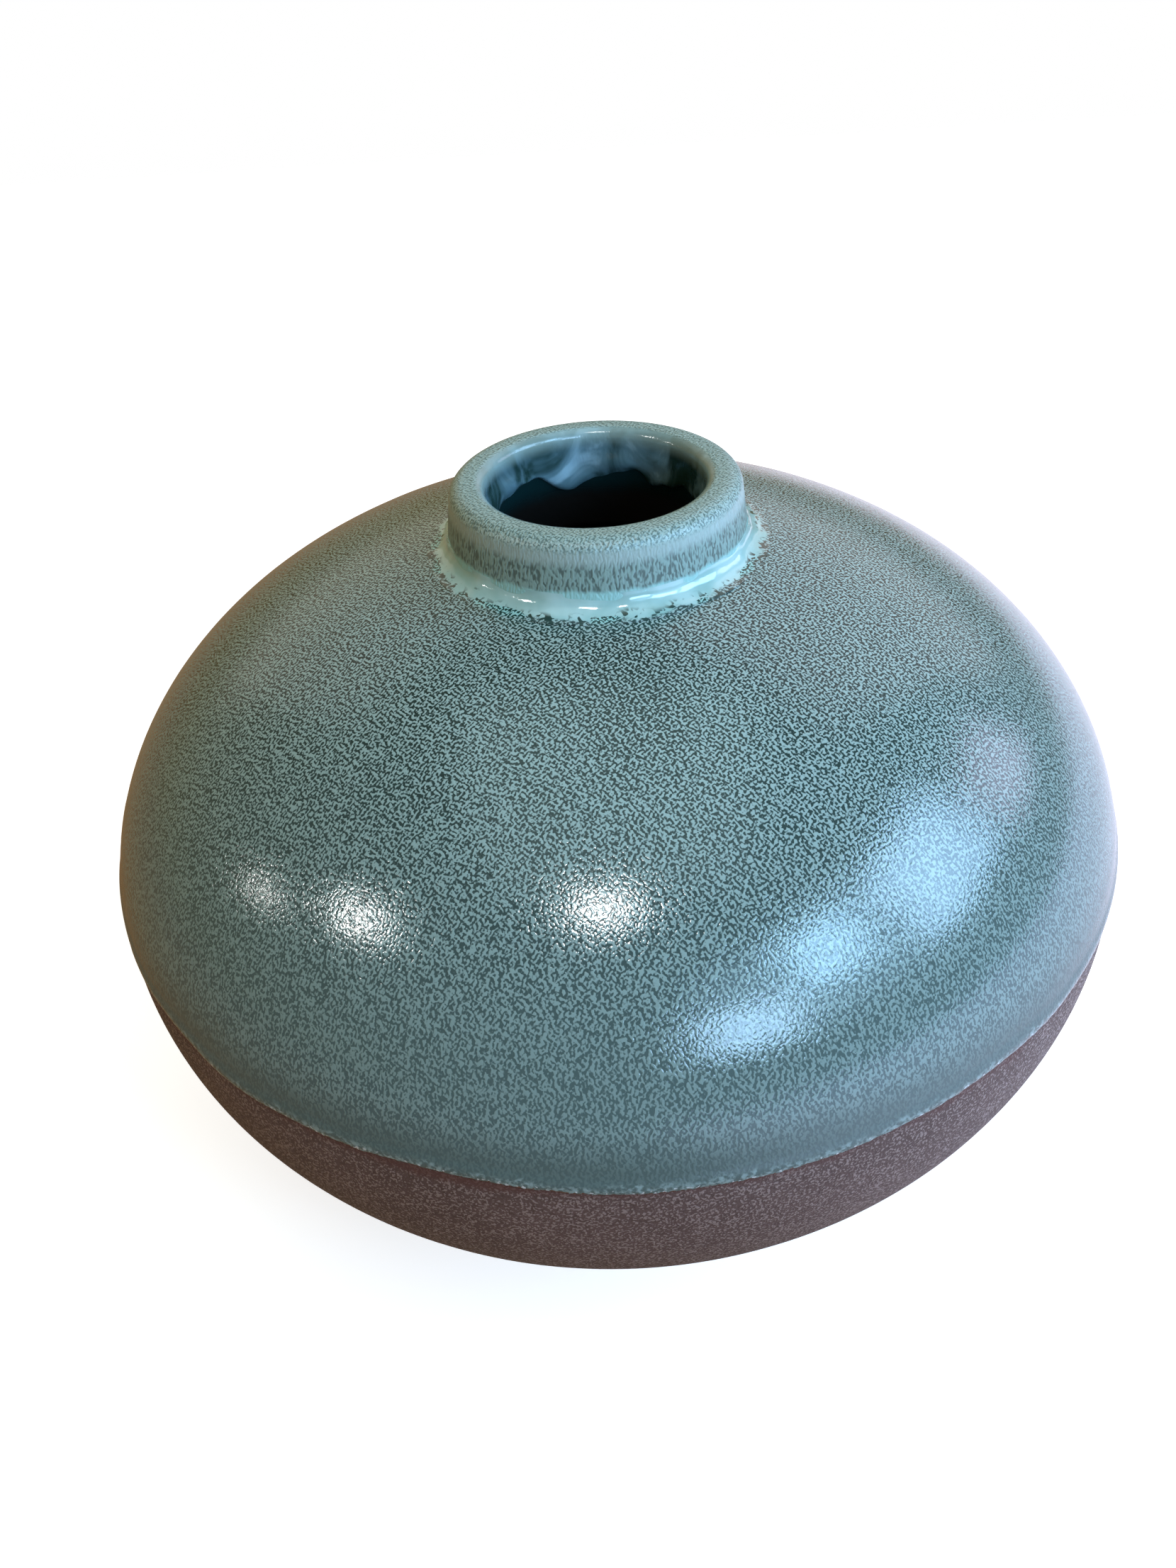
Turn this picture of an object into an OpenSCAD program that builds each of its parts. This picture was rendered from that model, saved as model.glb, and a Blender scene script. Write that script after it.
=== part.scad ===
// Squat ceramic bud vase: a wide oval body on a turned foot, a short rolled neck,
// a mottled glaze on the shoulder down to a dip line just above the belly, and bare clay below.
// The clay is four luted sections and the glaze is four coats, each its own solid.
// Millimetres, +Z up, origin at the middle of the foot's resting plane.

/* [Body] */
// Widest diameter, across the bare clay at the belly
body_d = 165; // [150:1:180]
// Height of the belly, where the body is widest, above the table
belly_z = 54; // [52:1:58]
// Rise of the glazed dome from the belly to where its curve would close
dome_rise = 53; // [52:0.5:54]
// Depth of the lower bowl's curve below the belly, before the foot cuts it off
bowl_depth = 60.5; // [59:0.5:64]
// Thickness of the clay wall
wall_t = 6; // [5:0.5:7]
// Thickness of the clay floor
floor_t = 7; // [6:0.5:9]
// Height of the step in the lute joint at the belly
joint_step_h = 3; // [2:0.5:4]

/* [Foot] */
// Outer diameter of the foot ring
foot_d = 88; // [76:1:90]
// Width of the foot ring
foot_w = 7; // [5:0.5:10]
// Height of the foot ring
foot_h = 3; // [2.5:0.5:4]
// Radius of the two rounded edges that the foot ring rests between
foot_edge_r = 1.2; // [0.6:0.1:1.6]

/* [Neck] */
// Height of the rim above the table
rim_z = 114.5; // [113.5:0.5:116]
// Diameter of the glazed bore that the stems go through
bore_d = 32.4; // [30:0.2:34]
// Outer diameter of the glazed lip
lip_d = 43.2; // [42:0.2:45]
// How much further out the neck stands at its root than at the lip
neck_flare = 1.6; // [0.8:0.1:2]
// Width of the spigot that seats the neck in the dome
spigot_w = 2.6; // [2:0.1:3.2]
// Radius of the bare clay lip's inner edge
lip_in_edge_r = 0.9; // [0.5:0.1:1.2]
// Radius of the bare clay lip's outer edge
lip_out_edge_r = 1.6; // [1:0.1:2]

/* [Glaze] */
// Thickness of the outer coat at the top of the dome
glaze_t = 0.8; // [0.5:0.1:1]
// Thickness of the outer coat at the belly, where it runs thin
glaze_belly_t = 0.5; // [0.3:0.1:0.8]
// Height of the dip line above the belly
dip_up = 5.6; // [4:0.2:9]
// Height of the rolled edge along the dip line
roll_h = 2.8; // [1.6:0.2:4]
// How far the rolled edge stands off the clay
roll_t = 0.9; // [0.7:0.1:1.4]
// Thickness of the coat on the neck and lip
neck_glaze_t = 0.7; // [0.5:0.1:0.9]
// How far the neck's coat runs down inside the bore
neck_glaze_run = 10.5; // [8:0.5:12]
// Thickness of the coat inside the body
liner_t = 0.6; // [0.4:0.1:0.8]
// How far the pooled glaze reaches out past the lip
pool_w = 3.2; // [2.4:0.1:4]
// Height of the pooled glaze at its outer edge
pool_toe = 0.4; // [0.2:0.1:0.6]
// Height that the pooled glaze's hollow curve rises from its outer edge
pool_h = 3.2; // [2:0.1:3.6]

/* [Hidden] */
$fn = 360;

body_r = body_d / 2;
dome_clay_rise = dome_rise - glaze_t;
dome_inner_rise = dome_clay_rise - wall_t;
glaze_r = body_r + glaze_belly_t;
inner_r = body_r - wall_t;
bowl_inner_depth = bowl_depth - wall_t;
joint_r = body_r - wall_t / 2;
floor_z = foot_h + floor_t;
dip_z = belly_z + dip_up;

bore_r = bore_d / 2;
lip_r = lip_d / 2;
collar_in_r = bore_r + neck_glaze_t;
collar_out_r = lip_r - neck_glaze_t;
collar_top_z = rim_z - neck_glaze_t;
spigot_r = collar_in_r + spigot_w;
flare_top_z = rim_z - neck_glaze_t - lip_out_edge_r;
flare_root_z = belly_z + dome_inner_rise;

liner_r = inner_r - liner_t;
liner_rise = dome_inner_rise - liner_t;
spigot_end_z = belly_z + arch(inner_r, dome_inner_rise, spigot_r);
liner_end_z = belly_z + arch(liner_r, liner_rise, spigot_r);
neck_glaze_end_z = rim_z - neck_glaze_run;
pool_r = lip_r + pool_w;
pool_toe_z = belly_z + arch(glaze_r, dome_rise, pool_r) + pool_toe;
pool_top_z = pool_toe_z + pool_h;
pool_in_r = lip_r + neck_flare * (flare_top_z - pool_top_z) / (flare_top_z - flare_root_z);

reach = body_d;

// Height, at radius r, of an oval arch with half width a and rise b
function arch(a, b, r) = b * sqrt(1 - r * r / (a * a));

// Half width, at height h, of an oval arch with half width a and rise b
function arch_r(a, b, h) = a * sqrt(1 - h * h / (b * b));

// Part of the half plane between radii r0 and r1 and heights z0 and z1
module block(r0, r1, z0, z1) {
    translate([r0, z0]) square([r1 - r0, z1 - z0]);
}

// Right half of an oval centred on the axis at the belly
module half_oval(a, b) {
    intersection() {
        translate([0, belly_z]) scale([1, b / a]) circle(r = a);
        block(0, reach, belly_z - b, belly_z + b);
    }
}

// Half section of a body whose curve rises by up and drops by down from the belly
module egg(a, up, down) {
    intersection() {
        half_oval(a, up);
        block(0, reach, belly_z, belly_z + reach);
    }
    intersection() {
        half_oval(a, down);
        block(0, reach, belly_z - reach, belly_z);
    }
}

// The body's hollow, flat at the floor
module hollow() {
    intersection() {
        egg(inner_r, dome_inner_rise, bowl_inner_depth);
        block(0, reach, floor_z, reach);
    }
}

// The clay wall and floor of the body, without foot or neck
module clay_wall() {
    difference() {
        intersection() {
            egg(body_r, dome_clay_rise, bowl_depth);
            block(0, reach, foot_h, reach);
        }
        hollow();
    }
}

// The bowl's share of the stepped lute joint at the belly
module below_joint() {
    block(0, reach, 0, belly_z);
    block(0, joint_r, 0, belly_z + joint_step_h);
}

// The dome's clay, with the hole that the neck's spigot drops into
module dome_section() {
    difference() {
        clay_wall();
        below_joint();
        block(0, spigot_r, belly_z, reach);
    }
}

// Upright block with its two top edges rounded to radii e0 inside and e1 outside
module round_top(r0, r1, z0, z1, e0, e1) {
    block(r0, r1, z0, z1 - max(e0, e1));
    block(r0, r0 + e0, z0, z1 - e0);
    block(r0 + e0, r1 - e1, z0, z1);
    translate([r0 + e0, z1 - e0]) circle(r = e0);
    translate([r1 - e1, z1 - e1]) circle(r = e1);
}

// The neck's half section with t of coat on it, reaching down into the dome
module neck_blank(t) {
    round_top(collar_in_r - t, collar_out_r + t, flare_root_z, collar_top_z + t,
              lip_in_edge_r + t, lip_out_edge_r + t);
    block(collar_in_r - t, spigot_r, spigot_end_z, flare_root_z);
    polygon([
        [spigot_r, flare_root_z],
        [collar_out_r + t + neck_flare, flare_root_z],
        [collar_out_r + t, flare_top_z],
        [spigot_r, flare_top_z]
    ]);
}

// The outer coat's half section, filled in to the axis, with its rolled lower edge
module dome_coat_blank() {
    roll_z = dip_z + roll_h / 2;
    intersection() {
        half_oval(glaze_r, dome_rise);
        block(0, reach, roll_z, reach);
    }
    translate([arch_r(body_r, dome_clay_rise, roll_z - belly_z), roll_z])
        scale([roll_t / (roll_h / 2), 1])
            circle(r = roll_h / 2);
}

module foot_ring() {
    color("#6d4c45")
        rotate_extrude()
            translate([0, foot_h])
                mirror([0, 1])
                    round_top(foot_d / 2 - foot_w, foot_d / 2, 0, foot_h, foot_edge_r, foot_edge_r);
}

module lower_bowl() {
    color("#74524b")
        rotate_extrude()
            intersection() {
                clay_wall();
                below_joint();
            }
}

module shoulder_dome() {
    color("#7b584f")
        rotate_extrude()
            dome_section();
}

module neck_collar() {
    color("#825f55")
        rotate_extrude()
            difference() {
                neck_blank(0);
                dome_section();
            }
}

module dome_glaze() {
    color("#6f9898")
        rotate_extrude()
            difference() {
                dome_coat_blank();
                egg(body_r, dome_clay_rise, bowl_depth);
                neck_blank(neck_glaze_t);
                block(0, lip_r, belly_z, reach);
            }
}

module neck_glaze() {
    color("#86a9ab")
        rotate_extrude()
            difference() {
                neck_blank(neck_glaze_t);
                neck_blank(0);
                dome_section();
                block(0, collar_in_r, belly_z, neck_glaze_end_z);
                block(0, spigot_r, belly_z, spigot_end_z);
            }
}

module glaze_pool() {
    color("#8fc4c6")
        rotate_extrude()
            difference() {
                block(collar_out_r, pool_r, belly_z, pool_top_z);
                translate([pool_r, pool_top_z])
                    scale([(pool_r - pool_in_r) / pool_h, 1])
                        circle(r = pool_h);
                half_oval(glaze_r, dome_rise);
                neck_blank(neck_glaze_t);
            }
}

module liner_glaze() {
    color("#2f4a4c")
        rotate_extrude() {
            difference() {
                hollow();
                intersection() {
                    egg(liner_r, liner_rise, bowl_inner_depth - liner_t);
                    block(0, reach, floor_z + liner_t, reach);
                }
                block(0, spigot_r, belly_z, reach);
            }
            block(bore_r, spigot_r, liner_end_z, spigot_end_z);
            block(bore_r, collar_in_r, liner_end_z, neck_glaze_end_z);
        }
}

foot_ring();
lower_bowl();
shoulder_dome();
neck_collar();
dome_glaze();
neck_glaze();
glaze_pool();
liner_glaze();
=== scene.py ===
"""A squat bud vase: bare clay below, a mottled glaze on the shoulder and a short glazed neck.

Lengths are in metres. Every clay section but the neck's collar, and every coat of glaze, is turned about the
upright axis from its own outline, then waved, thickened and roughened as the real one is.
"""

import math

import bpy
from bpy.props import FloatProperty, FloatVectorProperty, IntProperty, PointerProperty
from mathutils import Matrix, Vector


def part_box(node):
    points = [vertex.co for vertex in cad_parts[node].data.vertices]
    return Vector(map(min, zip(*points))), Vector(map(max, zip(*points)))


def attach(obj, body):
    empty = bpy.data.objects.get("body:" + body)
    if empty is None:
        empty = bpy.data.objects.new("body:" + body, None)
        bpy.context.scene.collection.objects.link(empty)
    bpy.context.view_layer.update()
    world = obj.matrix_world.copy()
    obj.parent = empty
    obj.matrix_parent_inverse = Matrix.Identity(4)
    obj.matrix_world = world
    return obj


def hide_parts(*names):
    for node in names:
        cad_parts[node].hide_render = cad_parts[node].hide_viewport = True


bl_info = {
    "name": "Ceramic Bud Vase",
    "version": (1, 0, 0),
    "blender": (4, 5, 0),
    "location": "3D View > Sidebar > Vase",
    "description": "Turns, glazes and lights a squat ceramic bud vase",
    "category": "Add Mesh",
}

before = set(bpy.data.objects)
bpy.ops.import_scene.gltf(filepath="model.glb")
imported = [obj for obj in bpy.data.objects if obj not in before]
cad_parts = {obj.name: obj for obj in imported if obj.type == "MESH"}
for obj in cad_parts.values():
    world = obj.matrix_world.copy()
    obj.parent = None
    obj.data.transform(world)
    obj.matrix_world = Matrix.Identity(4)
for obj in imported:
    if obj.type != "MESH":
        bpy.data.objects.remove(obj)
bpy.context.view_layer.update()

BODY = "root"
MM = 0.001
FULL_TURN = 2 * math.pi
QUARTER_TURN = math.pi / 2

FOOT_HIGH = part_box("foot_ring")[1]
BOWL_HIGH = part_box("lower_bowl")[1]
SHOULDER_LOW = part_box("shoulder_dome")[0]
COLLAR_LOW, COLLAR_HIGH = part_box("neck_collar")
COAT_LOW, COAT_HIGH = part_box("dome_glaze")
LIP_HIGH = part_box("neck_glaze")[1]
POOL_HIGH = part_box("glaze_pool")[1]
LINER_LOW, LINER_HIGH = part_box("liner_glaze")

COARSE_STEP = 4 * MM
MIDDLE_STEP = 2 * MM
FINE_STEP = 1.2 * MM
HAIR = 0.02 * MM
POOL_REACH = 25.1 * MM
INNER_RADIUS = LINER_HIGH.x


def length_property(name, description, default):
    """A length that a user can change, in metres."""
    return FloatProperty(name=name, description=description, default=default, unit="LENGTH", precision=5)


def colour_property(name, description, default):
    """A linear colour that a user can change."""
    return FloatVectorProperty(
        name=name, description=description, default=default, subtype="COLOR", size=3, min=0, max=1
    )


class VaseClaySizes(bpy.types.PropertyGroup):
    """Sizes of the fired clay."""

    belly_radius: length_property("Belly radius", "Radius of the bare clay at its widest", BOWL_HIGH.x)
    belly_height: length_property("Belly height", "Height of the widest line", SHOULDER_LOW.z)
    dome_rise: length_property("Dome rise", "Rise of the clay dome's curve above the belly", 0.0522)
    bowl_depth: length_property("Bowl depth", "Depth of the bowl's curve below the belly", 0.0605)
    joint_step: length_property(
        "Joint step", "Height of the step where bowl and dome are luted", BOWL_HIGH.z - SHOULDER_LOW.z
    )
    seat_radius: length_property("Seat radius", "Radius of the hole that the neck sits in", 0.0195)
    collar_radius: length_property("Collar radius", "Outer radius of the bare clay lip", 0.0209)
    collar_bore: length_property("Collar bore", "Bore radius of the bare clay neck", 0.0169)
    neck_flare: length_property("Neck flare", "How much wider the neck is at its root", 0.0016)
    lip_outer_round: length_property("Lip outer round", "Radius of the lip's outer edge", 0.0016)
    lip_inner_round: length_property("Lip inner round", "Radius of the lip's inner edge", 0.0009)
    foot_width: length_property("Foot width", "Width of the foot ring", 0.007)
    foot_round: length_property("Foot round", "Radius of the foot ring's edges", 0.0012)


class VaseGlazeSizes(bpy.types.PropertyGroup):
    """Sizes of the coats of glaze."""

    top_coat: length_property("Coat at the top", "Thickness of the outer coat by the neck", 0.0008)
    belly_coat: length_property("Coat at the belly", "Thickness of the outer coat by the dip line", 0.0005)
    roll_height: length_property("Roll height", "Height of the rolled edge at the dip line", 0.0028)
    roll_depth: length_property("Roll depth", "How far the rolled edge stands off the clay", 0.00070)
    neck_coat: length_property("Neck coat", "Thickness of the coat on the neck", 0.0007)
    drip_depth: length_property("Drip depth", "Thickness of the runs inside the neck", 0.001)
    drip_end: length_property("Drip end", "How far the runs reach down from the rim", 0.0082)
    pool_radius: length_property("Pool radius", "Outer radius of the pooled glaze", POOL_HIGH.x + 0.0009)
    pool_climb: length_property("Pool climb", "How far the pool climbs up the neck", 0.0027)
    liner_coat: length_property("Liner coat", "Thickness of the coat inside", 0.0006)
    mottle_cell: length_property("Mottle size", "Spacing of the mottle's dark worms", 0.00038)


class VaseColours(bpy.types.PropertyGroup):
    """Linear colours of the clay and the glazes."""

    clay: colour_property("Clay", "Bare fired clay", (0.106, 0.061, 0.055))
    clay_dark: colour_property("Dark clay", "Pores and hollows in the clay", (0.055, 0.028, 0.024))
    clay_grit: colour_property("Grit", "Pale grit in the clay", (0.290, 0.225, 0.215))
    # The flash is the clay's real red flash, darkened to paint the shade along the glaze's edge.
    flash_and_edge_shade: colour_property("Flash", "Red flash along the glaze's edge", (0.085, 0.028, 0.024))
    pale: colour_property("Pale glaze", "Pale strands of the mottle", (0.345, 0.514, 0.520))
    pale_cloud: colour_property("Clouded pale glaze", "Pale strands in a thin patch", (0.250, 0.398, 0.392))
    pale_low: colour_property("Low pale glaze", "Pale strands low on the shoulder", (0.186, 0.290, 0.290))
    dark: colour_property("Dark glaze", "Dark worms of the mottle", (0.007, 0.034, 0.035))
    dark_low: colour_property("Low dark glaze", "Dark worms low on the shoulder", (0.082, 0.142, 0.148))
    pit: colour_property("Pits", "Pinholes in the glaze", (0.010, 0.020, 0.020))
    skirt: colour_property("Skirt", "Smooth thin glaze above the dip line", (0.070, 0.122, 0.124))
    # The roll's colour is its glaze painted lighter as the highlight along the rolled edge.
    roll: colour_property("Roll", "Rolled edge along the dip line", (0.235, 0.350, 0.360))
    bead: colour_property("Beads", "Pale beads along the rolled edge", (0.550, 0.620, 0.660))
    lip: colour_property("Lip glaze", "Pale glaze on top of the lip", (0.330, 0.490, 0.475))
    lip_speck: colour_property("Lip specks", "Darker specks on top of the lip", (0.105, 0.190, 0.182))
    # The ridge band is thinner glaze breaking over the edge, and is also painted lighter as a highlight.
    lip_ridge_and_sheen: colour_property("Lip ridge", "Smooth band round the lip's shoulder", (0.380, 0.530, 0.520))
    neck: colour_property("Neck glaze", "Greyer glaze on the neck's wall", (0.245, 0.395, 0.375))
    neck_streak: colour_property("Neck streaks", "Dark streaks on the neck's wall", (0.095, 0.155, 0.145))
    pool: colour_property("Pool", "Pooled glaze where it meets its neighbours", (0.330, 0.635, 0.630))
    pool_clear: colour_property("Clear pool", "Clear parts of the pooled glaze", (0.300, 0.550, 0.550))
    pool_milk: colour_property("Milky pool", "Milky parts of the pooled glaze", (0.490, 0.750, 0.770))
    fleck: colour_property("Flecks", "Green-black flecks round the pool", (0.012, 0.050, 0.045))
    bore: colour_property("Bore", "Thin dark glaze inside the neck", (0.014, 0.045, 0.042))
    drip: colour_property("Drips", "Blue runs inside the neck", (0.120, 0.235, 0.285))
    drip_milk: colour_property("Milky drips", "The runs' milky middles", (0.300, 0.500, 0.600))
    liner: colour_property("Liner", "Dark glaze inside the vase", (0.004, 0.019, 0.021))
    # The deep liner colour is painted shade: the inside below the neck painted near black.
    liner_painted_shade: colour_property("Deep liner", "Dark glaze out of the light", (0.0045, 0.0040, 0.0035))
    liner_thin: colour_property("Thin liner", "Brown cast where the dark is thin", (0.012, 0.009, 0.007))
    floor: colour_property("Floor", "The plain floor that the vase stands on", (0.90, 0.90, 0.90))


class VaseStudio(bpy.types.PropertyGroup):
    """The camera and how finely round shapes are turned."""

    turn_steps: IntProperty(name="Turn steps", description="Flats round the belly", default=480, min=64)
    neck_steps: IntProperty(name="Neck steps", description="Flats round the neck", default=360, min=64)
    inner_steps: IntProperty(name="Inner steps", description="Flats round the inside", default=180, min=64)
    focal_length: FloatProperty(name="Lens", description="Focal length in millimetres", default=27.066)
    camera_back: length_property("Camera back", "How far in front of the vase the camera stands", 0.1621)
    camera_up: length_property("Camera up", "How high above the table the camera stands", 0.1865)
    camera_turn: FloatVectorProperty(
        name="Camera turn", description="The camera's turn about X, Y and Z", subtype="EULER",
        default=[math.radians(angle) for angle in (51.2575, 2.9788, -0.9835)],
    )


# Turning outlines into round pieces


def clear_selection():
    """Leaves edit mode and deselects everything."""
    if bpy.context.object and bpy.context.object.mode != "OBJECT":
        bpy.ops.object.mode_set(mode="OBJECT")
    bpy.ops.object.select_all(action="DESELECT")


def turn_outline(name, outline, steps):
    """Draws an outline of (radius, height) points by extruding one point, and spins it round the axis."""
    clear_selection()
    radius, height = outline[0]
    bpy.ops.mesh.primitive_plane_add(size=MM, location=(radius, 0, height))
    piece = bpy.context.object
    piece.name = name
    piece.data.name = name
    bpy.ops.object.transform_apply(location=True, rotation=True, scale=True)
    bpy.ops.object.mode_set(mode="EDIT")
    bpy.ops.mesh.select_mode(type="VERT")
    bpy.ops.mesh.select_all(action="SELECT")
    bpy.ops.mesh.merge(type="CENTER")
    for here, there in zip(outline, outline[1:]):
        step = (there[0] - here[0], 0, there[1] - here[1])
        bpy.ops.mesh.extrude_region_move(TRANSFORM_OT_translate={"value": step})
    bpy.ops.mesh.select_all(action="SELECT")
    bpy.ops.mesh.spin(steps=steps, angle=FULL_TURN, center=(0, 0, 0), axis=(0, 0, 1))
    bpy.ops.mesh.select_all(action="SELECT")
    bpy.ops.mesh.remove_doubles(threshold=MM / 500)
    bpy.ops.mesh.normals_make_consistent(inside=False)
    bpy.ops.object.mode_set(mode="OBJECT")
    return piece


def walk_oval(half_width, rise, start, stop, first_step, last_step, growth=1.12):
    """Points along an oval arch between two angles, in steps that grow from first_step to last_step."""
    points, angle, step = [], start, first_step
    sign = 1 if stop > start else -1
    while sign * (stop - angle) > 0:
        points.append((half_width * math.cos(angle), rise * math.sin(angle)))
        speed = math.hypot(half_width * math.sin(angle), rise * math.cos(angle))
        angle += sign * step / speed
        step = min(last_step, step * growth)
    points.append((half_width * math.cos(stop), rise * math.sin(stop)))
    return points


def raised(points, height):
    """The same points, lifted by height."""
    return [(radius, z + height) for radius, z in points]


def arc(centre, radius, start, stop, count):
    """Points on a round corner, from one angle to another."""
    angles = [start + (stop - start) * i / count for i in range(count + 1)]
    return [(centre[0] + radius * math.cos(a), centre[1] + radius * math.sin(a)) for a in angles]


def ruled(start, stop, spacing):
    """Points along a straight stretch, ends included."""
    count = max(1, round(math.dist(start, stop) / spacing))
    return [
        (start[0] + (stop[0] - start[0]) * i / count, start[1] + (stop[1] - start[1]) * i / count)
        for i in range(count + 1)
    ]


def joined(*stretches):
    """One outline from several stretches, each repeated point dropped."""
    outline = []
    for stretch in stretches:
        for point in stretch:
            if not outline or math.dist(outline[-1], point) > MM / 100:
                outline.append(point)
    return outline


def weigh(piece, name, rule):
    """Makes a vertex group whose weights are rule(radius, height)."""
    group = piece.vertex_groups.new(name=name)
    for vertex in piece.data.vertices:
        weight = rule(math.hypot(vertex.co.x, vertex.co.y), vertex.co.z)
        if weight > 0:
            group.add([vertex.index], min(1.0, weight), "REPLACE")
    return name


def choose(piece):
    """Selects one piece and makes it the active one."""
    clear_selection()
    piece.select_set(True)
    bpy.context.view_layer.objects.active = piece


def finish_with(piece, kind, **settings):
    """Adds a modifier, sets it and applies it."""
    choose(piece)
    modifier = piece.modifiers.new(kind.lower(), kind)
    for key, value in settings.items():
        setattr(modifier, key, value)
    bpy.ops.object.modifier_apply(modifier=modifier.name)


def remember(piece, name, rule):
    """Stores rule(radius, height) on the points, so that a material can follow a moved edge."""
    attribute = piece.data.attributes.new(name, "FLOAT", "POINT")
    values = [rule(math.hypot(v.co.x, v.co.y), v.co.z) for v in piece.data.vertices]
    attribute.data.foreach_set("value", values)


def waver(piece, group, direction, size, strength, depth=1):
    """Pushes a group of points about by a cloudy pattern of the given size."""
    clouds = bpy.data.textures.new(f"{piece.name} {group} {direction}", "CLOUDS")
    clouds.noise_scale = size
    clouds.noise_depth = depth
    finish_with(
        piece, "DISPLACE", texture=clouds, texture_coords="LOCAL", direction=direction,
        strength=strength, mid_level=0.5, vertex_group=group,
    )


def thicken(piece, thickest):
    """Thickens a skin outwards by its "depth" weights, and keeps the new face as a group "outside"."""
    outside = piece.vertex_groups.new(name="outside").name
    finish_with(
        piece, "SOLIDIFY", thickness=thickest, offset=1, vertex_group="depth", shell_vertex_group=outside
    )


def complete(piece, material, slot, *nodes):
    """Smooths a piece, gives it its material and ties it to the frame."""
    choose(piece)
    bpy.ops.object.shade_smooth_by_angle(angle=math.radians(40))
    piece.vertex_groups.clear()
    piece.data.materials.clear()
    piece.data.materials.append(material)
    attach(piece, BODY)
    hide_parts(*nodes)


def falling(value, full, none):
    """1 at full, 0 at none, and smooth between them."""
    share = min(1.0, max(0.0, (value - none) / (full - none)))
    return share * share * (3 - 2 * share)


# Shader helpers


def add(tree, kind, inputs=None, **settings):
    """Adds a node, sets it, and fills or links its inputs."""
    made = tree.nodes.new(kind)
    for key, value in settings.items():
        setattr(made, key, value)
    for key, value in (inputs or {}).items():
        socket = made.inputs[key]
        if isinstance(value, bpy.types.NodeSocket):
            tree.links.new(value, socket)
        else:
            socket.default_value = value
    return made


def sum_of(tree, kind, first, second, third=None):
    """The output of one Math node."""
    inputs = {0: first, 1: second}
    if third is not None:
        inputs[2] = third
    return add(tree, "ShaderNodeMath", inputs, operation=kind).outputs[0]


def eased(tree, value, low, high):
    """0 where value is at low, 1 where it is at high, and smooth between."""
    inputs = {"Value": value, "From Min": low, "From Max": high}
    return add(tree, "ShaderNodeMapRange", inputs, interpolation_type="SMOOTHSTEP").outputs[0]


def mixed(tree, share, first, second):
    """The second colour over the first, by a share from 0 to 1."""
    made = add(tree, "ShaderNodeMix", {0: share}, data_type="RGBA")
    for socket, value in ((made.inputs[6], first), (made.inputs[7], second)):
        if isinstance(value, bpy.types.NodeSocket):
            tree.links.new(value, socket)
        else:
            socket.default_value = (*value, 1)
    return made.outputs[2]


def noise(tree, place, scale, detail=2.0, distortion=0.0):
    """The value of a Noise texture."""
    inputs = {"Vector": place, "Scale": scale, "Detail": detail, "Distortion": distortion}
    return add(tree, "ShaderNodeTexNoise", inputs).outputs[0]


def stretched(tree, place, scale):
    """Coordinates scaled along each axis."""
    return add(tree, "ShaderNodeMapping", {"Vector": place, "Scale": scale}, vector_type="POINT").outputs[0]


def new_group(name, inputs, outputs):
    """An empty shader node group with its sockets."""
    group = bpy.data.node_groups.new(name, "ShaderNodeTree")
    for label, kind in inputs:
        group.interface.new_socket(label, in_out="INPUT", socket_type=kind)
    for label, kind in outputs:
        group.interface.new_socket(label, in_out="OUTPUT", socket_type=kind)
    return group, group.nodes.new("NodeGroupInput").outputs, group.nodes.new("NodeGroupOutput").inputs


FLOAT = "NodeSocketFloat"
VECTOR = "NodeSocketVector"


def worm_group():
    """Builds the mottle once: pale strands between dark worms, with a drift in how much is dark."""
    if "worm mottle" in bpy.data.node_groups:
        return bpy.data.node_groups["worm mottle"]
    labels = ("Cells", "Dark Share", "Softness", "Drift")
    given_sockets = [("Place", VECTOR)] + [(label, FLOAT) for label in labels]
    result_sockets = [("Strands", FLOAT), ("Relief", FLOAT)]
    group, given, result = new_group("worm mottle", given_sockets, result_sockets)
    coarse = noise(group, given["Place"], given["Cells"], detail=0.0, distortion=0.6)
    apart = sum_of(group, "DIVIDE", 0.75, given["Cells"])
    value = sum_of(group, "MULTIPLY_ADD", coarse, 0.85, 0.5)
    for axis in (0, 1):
        step = add(group, "ShaderNodeCombineXYZ", {axis: apart}).outputs[0]
        moved = add(group, "ShaderNodeVectorMath", {0: given["Place"], 1: step}, operation="ADD").outputs[0]
        beside = noise(group, moved, given["Cells"], detail=0.0, distortion=0.6)
        value = sum_of(group, "MULTIPLY_ADD", beside, -0.425, value)
    drift = sum_of(group, "SUBTRACT", noise(group, given["Place"], scale=34.0, detail=3.0), 0.5)
    shift = sum_of(group, "MULTIPLY", drift, given["Drift"])
    level = sum_of(group, "ADD", given["Dark Share"], shift)
    low = sum_of(group, "SUBTRACT", level, given["Softness"])
    high = sum_of(group, "ADD", level, given["Softness"])
    group.links.new(eased(group, value, low, high), result["Strands"])
    group.links.new(value, result["Relief"])
    return group


def place_group():
    """Builds the group that gives a point's radius and height."""
    if "vase place" in bpy.data.node_groups:
        return bpy.data.node_groups["vase place"]
    group, given, result = new_group(
        "vase place", [("Place", VECTOR)], [("Radius", FLOAT), ("Height", FLOAT)]
    )
    parts = add(group, "ShaderNodeSeparateXYZ", {0: given["Place"]}).outputs
    across = add(group, "ShaderNodeCombineXYZ", {0: parts[0], 1: parts[1]}).outputs[0]
    radius = add(group, "ShaderNodeVectorMath", {0: across}, operation="LENGTH").outputs["Value"]
    group.links.new(radius, result["Radius"])
    group.links.new(parts[2], result["Height"])
    return group


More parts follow.
